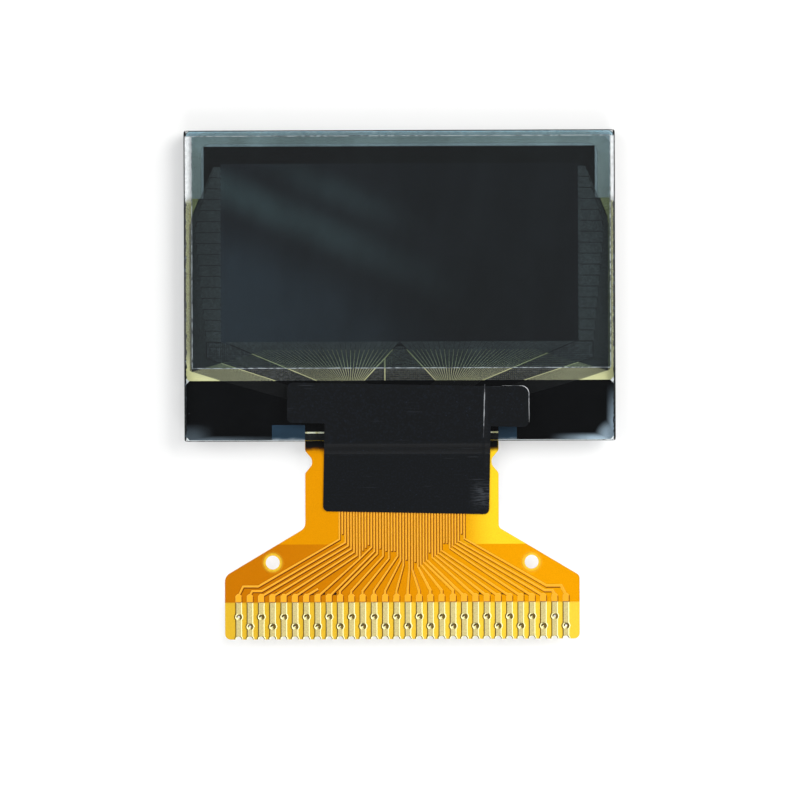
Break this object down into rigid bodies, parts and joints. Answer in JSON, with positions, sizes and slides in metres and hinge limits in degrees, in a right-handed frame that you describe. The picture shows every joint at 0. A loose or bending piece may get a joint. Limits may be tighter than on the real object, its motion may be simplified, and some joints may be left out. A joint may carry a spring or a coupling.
{
  "type": "bare oled display panel with solder tail",
  "caption": "Slim glass display panel with a driver chip on its lower ledge, black shield tape and an amber flexible tail that widens to a row of plated solder fingers.",
  "frame": {"origin": "centre of the rear face of the cap glass, the face that is set down on the host board", "axes": "+X to the right and +Y up the display as it is read, the tail pointing to -Y; +Z out of the display towards the viewer"},
  "size_m": [0.0266, 0.0315, 0.0014],
  "materials": {
    "glass": "polished",
    "polarizer": "satin",
    "clear_conductor": "polished",
    "organic_film": "satin",
    "cathode_metal": "satin",
    "lead_metal": "satin",
    "insulating_film": "gloss",
    "seal_resin": "satin",
    "absorber": "matte",
    "silicon": "polished",
    "bond_film": "satin",
    "black_resin": "gloss",
    "clear_glue": "gloss",
    "base_film": "satin",
    "copper": "satin",
    "plated_finger": "satin",
    "front_coverlay": "gloss",
    "rear_coverlay": "gloss",
    "shield_tape": "satin"
  },
  "bodies": {
    "root": {"front_glass": "glass", "polarizer": "polarizer", "column_anodes": "clear_conductor", "organic_layer": "organic_film", "row_cathodes": "cathode_metal", "row_leads": "lead_metal", "column_leads": "lead_metal", "input_leads": "lead_metal", "filling_metal": "lead_metal", "insulating_film": "insulating_film", "seal_bead": "seal_resin", "moisture_absorber": "absorber", "cap_glass": "glass", "driver_chip": "silicon", "chip_bond_film": "bond_film", "tail_bond_film": "bond_film", "ledge_coat": "black_resin", "bond_glue": "clear_glue", "tail_base_film": "base_film", "tail_copper": "copper", "tail_fingers": "plated_finger", "front_coverlay": "front_coverlay", "rear_coverlay": "rear_coverlay", "shield_tape": "shield_tape"}
  },
  "joints": []
}
